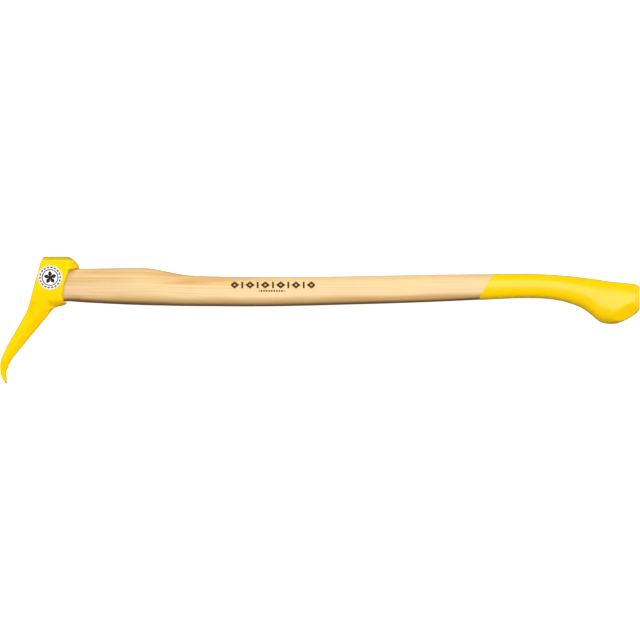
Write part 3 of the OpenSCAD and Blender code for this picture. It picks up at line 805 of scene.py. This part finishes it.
    # brown smudges in the lower half, and painted shade that browns the wood towards the lower edge
    smudge = g.remap(g.noise(q, (0.008, 0.07, 0.07), 2.0, 0.5), 0.50, 0.68, 0.0, 1.0, True)
    smudge = g.math("MULTIPLY", smudge, g.remap(f, 0.5, 0.68, 0.0, 1.0, True))
    col = g.mix(g.math("MULTIPLY", smudge, 0.45), col, g.mix(1.0, col, (0.90, 0.80, 0.62), "MULTIPLY"))
    # painted shade: darker and browner towards the lower edge, where the handle turns away from the light, in two
    # steps (low, rim)
    uneven = g.remap(g.noise(q, (0.010, 0.09, 0.09), 2.0, 0.5), 0.3, 0.7, -0.06, 0.08)
    low = g.math("ADD", g.attr("low"), uneven)
    col = g.mix(g.remap(low, 0.24, 0.78, 0.0, 0.72, True), col, (0.47, 0.268, 0.078))
    rim = g.math("ADD", g.attr("rim"), g.math("MULTIPLY", uneven, 0.3))
    col = g.mix(g.remap(rim, 0.70, 0.96, 0.0, 0.90, True), col, (0.165, 0.088, 0.024))
    near = g.remap(x0, 40, 210, 1.0, 0.0, True)
    col = g.mix(near, col, g.mix(1.0, col, (0.91, 0.885, 0.90), "MULTIPLY"))
    # painted light: paler where the handle meets the head, to cancel the shadow the head casts on the wood there
    col = g.mix(g.attr("joint_shadow_lift"), col, g.mix(1.0, col, (1.28, 1.34, 1.30), "MULTIPLY"))
    # painted light under the upper lug, to cancel the lug's cast shadow on the wood
    lug_shadow_lift = g.math("MULTIPLY", g.remap(y0, 19.5, 24.0, 0.0, 1.0, True), g.remap(x0, 40, 50, 1.0, 0.0, True))
    col = g.mix(lug_shadow_lift, col, g.mix(1.0, col, (1.26, 1.32, 1.28), "MULTIPLY"))
    # open pores of the early wood: short dark dashes along the fibre
    dash = g.cells(q, (0.12, 3.6, 3.6))
    pore = g.math("MULTIPLY", g.remap(dash, 0.05, 0.24, 1.0, 0.0), g.remap(early, 0.3, 0.9, 0.10, 0.7))
    col = g.mix(g.math("MULTIPLY", pore, 0.40), col, (0.34, 0.19, 0.06))
    col, mark = ornament(g, p, col)
    rough = g.remap(fibre, 0.3, 0.7, 0.34, 0.46)
    h = g.math("SUBTRACT", g.math("MULTIPLY", fibre, 0.5), pore)
    nrm = g.bump(h, 0.35, 0.00006)
    return g.set(color=col, rough=rough, spec=g.remap(mark, 0, 1, 0.2, 0.04), tint=(1.0, 0.86, 0.66), normal=nrm)


def ornament(g, p, col):
    """Plain burnt-in band of lozenges and bars on the near side of the grip, with a row of dots below."""
    x, y, z = g.xyz(p)
    near = g.math("GREATER_THAN", z, 3.0)
    # lozenges and upright bars, in turns, 12 mm apart
    u = g.math("SUBTRACT", g.math("MULTIPLY", g.math("FRACT", g.math("DIVIDE", g.math("SUBTRACT", x, 276.0), 24.0)), 24.0), 12.0)
    v = g.math("ABSOLUTE", y)
    inside = g.math("MULTIPLY", g.math("GREATER_THAN", x, 282.5), g.math("LESS_THAN", x, 413.5))
    au = g.math("ABSOLUTE", u)
    loz = g.math("ADD", g.math("DIVIDE", au, 7.4), g.math("DIVIDE", v, 5.6))
    lozenge = g.math("MULTIPLY", g.math("LESS_THAN", loz, 1.0), g.math("GREATER_THAN", loz, 0.30))
    core = g.math("LESS_THAN", loz, 0.08)
    far = g.math("SUBTRACT", 12.0, au)
    bar = g.math("MULTIPLY", g.math("LESS_THAN", far, 1.5), g.math("LESS_THAN", v, 4.9))
    dot_u = g.math("SUBTRACT", g.math("MULTIPLY", g.math("FRACT", g.math("DIVIDE", x, 4.0)), 4.0), 2.0)
    dv = g.math("ADD", y, 9.2)
    dd = g.math("SQRT", g.math("ADD", g.math("MULTIPLY", dot_u, dot_u), g.math("MULTIPLY", dv, dv)))
    dots = g.math("MULTIPLY", g.math("LESS_THAN", dd, 1.45), g.math("MULTIPLY", g.math("GREATER_THAN", x, 326.0), g.math("LESS_THAN", x, 366.0)))
    mark = g.math("MAXIMUM", g.math("MAXIMUM", lozenge, core), bar)
    mark = g.math("MAXIMUM", g.math("MULTIPLY", mark, inside), dots)
    mark = g.math("MULTIPLY", mark, near)
    worn = g.remap(g.noise(p, (0.5, 1.4, 1.4), 3.0, 0.6), 0.3, 0.6, 0.86, 1.0)
    return g.mix(g.math("MULTIPLY", mark, worn), col, (0.012, 0.005, 0.003)), mark


def wedge_material():
    g = Graph("wedge_wood")
    p = g.place()
    phase, q, x, y, z = grain(g, p, 1.1, 2.3, 2.0)
    early = g.ramp(phase, [(0.0, (1, 1, 1)), (0.3, (0.3, 0.3, 0.3)), (0.85, (0, 0, 0)), (1.0, (1, 1, 1))])
    fibre = g.noise(q, (0.05, 2.6, 2.6), 3.0, 0.6)
    col = g.mix(g.math("MULTIPLY", early, 0.7), (0.56, 0.36, 0.18), (0.34, 0.19, 0.08))
    col = g.mix(g.remap(fibre, 0.35, 0.7, 0.0, 0.4), col, (0.25, 0.13, 0.05))
    saw = g.noise(p, (0.4, 0.25, 3.0), 2.0, 0.5)
    return g.set(color=col, rough=0.62, spec=0.3, normal=g.bump(g.math("ADD", fibre, saw), 0.4, 0.0001))


def steel_material():
    g = Graph("bare_steel")
    p = g.place()
    scratch = g.noise(p, (0.35, 5.0, 5.0), 3.0, 0.6)
    stain = g.noise(p, (0.4, 0.4, 0.4), 4.0, 0.6)
    col = g.mix(g.remap(stain, 0.5, 0.75), (0.46, 0.455, 0.44), (0.25, 0.17, 0.11))
    rough = g.remap(scratch, 0.3, 0.7, 0.28, 0.5)
    return g.set(color=col, rough=rough, metal=1.0, normal=g.bump(scratch, 0.3, 0.00005))


def lacquer_material():
    """Glossy yellow dip: deep even colour, a soft orange peel and the grain faintly telegraphing through."""
    g = Graph("dip_lacquer")
    p = g.place()
    cloud = g.noise(p, (0.012, 0.03, 0.03), 2.0, 0.5)
    col = g.mix(g.remap(cloud, 0.3, 0.7), (0.85, 0.532, 0.0), (0.875, 0.549, 0.0))
    peel = g.noise(p, (0.16, 0.22, 0.22), 2.0, 0.45)
    tele = g.noise(p, (0.008, 0.6, 0.6), 2.0, 0.5)
    n1 = g.bump(peel, 0.10, 0.0004)
    n2 = g.bump(tele, 0.05, 0.0001, n1)
    rough = g.remap(g.noise(p, (0.08, 0.08, 0.08), 3.0, 0.6), 0.3, 0.7, 0.13, 0.18)
    return g.set(color=col, rough=rough, spec=0.5, tint=(1.0, 0.45, 0.62), normal=n2)


def label_material():
    """White film with a plain printed ornament: an inner ring, dashes and a five-petalled rosette; a thin outer ring
    is painted shade along the film's edge.
    """
    g = Graph("label_film")
    p = g.place()
    x, y, z = g.xyz(p)
    # the ornament is turned a little, as the film was put on by hand
    dx, dy = g.math("SUBTRACT", x, -0.3), g.math("SUBTRACT", y, 11.7)
    k = math.radians(-8)
    u = g.math("ADD", g.math("MULTIPLY", dx, math.cos(k)), g.math("MULTIPLY", dy, math.sin(k)))
    v = g.math("SUBTRACT", g.math("MULTIPLY", dy, math.cos(k)), g.math("MULTIPLY", dx, math.sin(k)))
    r = g.math("SQRT", g.math("ADD", g.math("MULTIPLY", u, u), g.math("MULTIPLY", v, v)))
    a = g.math("ARCTAN2", v, u)

    def line(c, w):
        return g.math("LESS_THAN", g.math("ABSOLUTE", g.math("SUBTRACT", r, c)), w)

    def every(n, shift=0.0):
        t = g.math("FRACT", g.math("ADD", g.math("MULTIPLY", a, n / (2 * math.pi)), 8.0 + shift))
        return g.math("ABSOLUTE", g.math("SUBTRACT", t, 0.5))

    # the thin outer ring is painted shade along the film's rounded edge; the inner ring is print
    rings = g.math("MAXIMUM", g.math("MULTIPLY", line(18.45, 0.3), 0.7), line(12.3, 1.0))
    # ring of short dashes
    dash = g.math("MULTIPLY", g.math("LESS_THAN", every(18), 0.36), line(15.9, 1.35))
    # rosette of five petals, widest half way out, round a small disc
    wide = g.math("MULTIPLY", g.math("SINE", g.remap(r, -1.6, 10.2, 0.0, math.pi)), 0.46)
    petal = g.math("MULTIPLY", g.math("LESS_THAN", every(5, 0.1), wide), g.math("LESS_THAN", r, 10.0))
    disc = g.math("LESS_THAN", r, 3.0)
    ink = g.math("MAXIMUM", g.math("MAXIMUM", g.math("MULTIPLY", dash, 0.9), disc), petal, clamp=True)
    paper = g.mix(g.remap(g.noise(p, (0.4, 0.4, 0.4), 2.0), 0.3, 0.7), (0.84, 0.835, 0.83), (0.87, 0.865, 0.86))
    col = g.mix(g.math("MULTIPLY", rings, 0.95), paper, (0.05, 0.045, 0.058))
    col = g.mix(g.math("MULTIPLY", ink, 0.99), col, (0.006, 0.003, 0.004))
    return g.set(color=col, rough=g.remap(ink, 0, 1, 0.38, 0.34), spec=g.remap(ink, 0, 1, 0.25, 0.06),
                 normal=g.bump(g.noise(p, (0.25, 0.25, 0.25), 2.0), 0.08, 0.0002))


# ---------------------------------------------------------------------------------------------
# Pieces
# ---------------------------------------------------------------------------------------------
def dress(ob, mat, node):
    ob.data.materials.clear()
    ob.data.materials.append(mat)
    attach(ob, "root")
    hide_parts(node)


head = build_head()
c = coords(head)
# painted sheen mask: a narrow strip along the rounded rear edge of the cheek, away from the beak and the middle plane
line = np.interp(c[:, 1], [-30, -10.9, 7.8, 23.5, 42.2, 45], [19.5, 19.2, 22.6, 26.2, 29.7, 30])
strip = smooth(-3.2, -1.4, c[:, 0] - line) * smooth(2.4, 0.6, c[:, 0] - line)
attribute(head, "rear_edge_sheen", strip * smooth(-32, -24, c[:, 1]) * smooth(6, 14, np.abs(c[:, 2])))
attribute(head, "tip", smooth(-148.5, -153.6, c[:, 1]))
# painted shade mask: the top few millimetres of the head, below the poll's edge
attribute(head, "poll_edge_shade", smooth(37.8, 40.6, c[:, 1]))
dress(head, paint_material(), "pick_head")

handle = build_handle()
c = coords(handle)
mid = (np.where(c[:, 0] < LUG_X, 0.0, at(S_TOP, c[:, 0])) + np.where(c[:, 0] < LUG_X, 0.0, at(S_BOTTOM, c[:, 0]))) / 2
hh = np.where(c[:, 0] < LUG_X, 25.6, (at(S_TOP, c[:, 0]) - at(S_BOTTOM, c[:, 0])) / 2)
# painted shade masks: the share of the height below the middle (low, with a later onset along the handle) and its
# lowest part (rim), for darkening the wood towards its lower edge
low = np.clip((mid - c[:, 1]) / hh, 0, 1)
late = np.interp(c[:, 0], [0, 35, 62, 88, 112, 150, 190, 215, 240, 300, 440, 560, 650, 700],
    [0.30, 0.36, 0.34, 0.22, 0.08, 0.10, 0.10, 0.02, -0.03, -0.02, -0.08, -0.06, -0.04, 0.02])
attribute(handle, "low", np.clip(low - late, 0, 1) * smooth(10, 40, c[:, 0]))
attribute(handle, "rim", low * smooth(8, 22, c[:, 0]))
# painted light mask: the wood next to the head's rear edge and under the upper lug, where the head shades it
gap = c[:, 0] - at(H_REAR, np.clip(c[:, 1], -24, 25))
under = np.exp(-np.clip(25.3 - c[:, 1], 0, 30) / 4.0) * smooth(48, 42, c[:, 0])
attribute(handle, "joint_shadow_lift", np.maximum(np.exp(-np.clip(gap, 0, 30) / 2.2), under))
attribute(handle, "depth", np.clip(0.5 + 0.5 * (mid - c[:, 1]) / hh, 0, 1))
attribute(handle, "lie", c[:, 1] - 0.5 * mid)
dress(handle, wood_material(), "handle")

wedge = build_wedge()
dress(wedge, wedge_material(), "wood_wedge")

band = ring_body("steel_ring_wedge", 0.0, 0.0, True)
dress(band, steel_material(), "ring_wedge")

coating = build_coating()
dress(coating, lacquer_material(), "grip_coating")

label = build_label()
dress(label, label_material(), "cheek_label")

# ---------------------------------------------------------------------------------------------
# Studio: pale floor that the cheek and the knob rest on, one broad softbox, weak fills from the ends
# ---------------------------------------------------------------------------------------------
def stage_floor():
    slope = 5.05 / (489.6 + 398.0)
    n = 24
    xs = np.linspace(-9, 9, n)
    verts = [(x, y, max(-1.0, (x + 0.398)) * slope if x < 3 else (3.398) * slope) for y in xs for x in xs]
    faces = [(j * n + i, j * n + i + 1, (j + 1) * n + i + 1, (j + 1) * n + i) for j in range(n - 1) for i in range(n - 1)]
    me = bpy.data.meshes.new("floor")
    me.from_pydata(verts, [], faces)
    me.update()
    ob = bpy.data.objects.new("floor", me)
    scene.collection.objects.link(ob)
    m = bpy.data.materials.new("floor")
    m.use_nodes = True
    nt = m.node_tree
    nt.nodes.clear()
    out = nt.nodes.new("ShaderNodeOutputMaterial")
    add = nt.nodes.new("ShaderNodeAddShader")
    dif = nt.nodes.new("ShaderNodeBsdfDiffuse")
    dif.inputs["Color"].default_value = (0.30, 0.30, 0.30, 1)
    em = nt.nodes.new("ShaderNodeEmission")
    lp = nt.nodes.new("ShaderNodeLightPath")
    mr = nt.nodes.new("ShaderNodeMapRange")
    nt.links.new(lp.outputs["Is Camera Ray"], mr.inputs["Value"])
    mr.inputs["To Min"].default_value = 0.25
    mr.inputs["To Max"].default_value = 0.92
    nt.links.new(mr.outputs[0], em.inputs["Strength"])
    nt.links.new(dif.outputs[0], add.inputs[0])
    nt.links.new(em.outputs[0], add.inputs[1])
    nt.links.new(add.outputs[0], out.inputs["Surface"])
    me.materials.append(m)
    ob.visible_glossy = False
    return ob


stage_floor()

world = bpy.data.worlds.new("studio")
scene.world = world
world.use_nodes = True
wt = world.node_tree
bg = wt.nodes["Background"]
bg.inputs["Color"].default_value = (1, 1, 1, 1)
wlp = wt.nodes.new("ShaderNodeLightPath")
wmr = wt.nodes.new("ShaderNodeMapRange")
wt.links.new(wlp.outputs["Is Camera Ray"], wmr.inputs["Value"])
wmr.inputs["To Min"].default_value = 0.12
wmr.inputs["To Max"].default_value = 1.0
wt.links.new(wmr.outputs[0], bg.inputs["Strength"])


def softbox(name, angle_y, angle_x, dist, sx, sy, radiance, diffuse, glossy):
    data = bpy.data.lights.new(name, "AREA")
    data.shape = "RECTANGLE"
    data.size, data.size_y = sx, sy
    data.energy = radiance * math.pi * sx * sy
    ob = bpy.data.objects.new(name, data)
    scene.collection.objects.link(ob)
    ay, ax = math.radians(angle_y), math.radians(angle_x)
    d = Vector((math.sin(ax), math.sin(ay) * math.cos(ax), math.cos(ay) * math.cos(ax)))
    ob.location = Vector((0, 0, 0.02)) + d * dist
    ob.rotation_euler = (-d).to_track_quat("-Z", "Y").to_euler()
    ob.visible_camera = False
    ob.visible_diffuse = diffuse
    ob.visible_glossy = glossy
    return ob


# the broad light, and what of it shows as a reflection: its middle, soft towards its upper edge
softbox("softbox", 22.0, 0.0, 2.2, 5.0, 1.96, 3.12, True, False)
softbox("shine_core", 18.2, 0.0, 2.2, 5.0, 1.42, 1.8, False, True)
softbox("shine_edge", 23.2, 0.0, 2.2, 5.0, 1.87, 1.8, False, True)
# the ends: a side light on the knob, and a fill on the beak
softbox("knob_panel", 16.0, 62.0, 2.2, 1.3, 2.2, 1.2, True, True)
softbox("beak_panel", -12.0, -60.0, 2.2, 1.3, 2.2, 1.5, True, False)

# ---------------------------------------------------------------------------------------------
# The visual model stays in the CAD box
# ---------------------------------------------------------------------------------------------
lo, hi = np.array(CAD_BOX[0]), np.array(CAD_BOX[1])
for ob in (head, handle, wedge, band, coating, label):
    me = ob.data
    co = np.zeros(len(me.vertices) * 3, np.float32)
    me.vertices.foreach_get("co", co)
    co = np.clip(co.reshape(-1, 3), lo, hi)
    me.vertices.foreach_set("co", co.astype(np.float32).ravel())
    me.update()
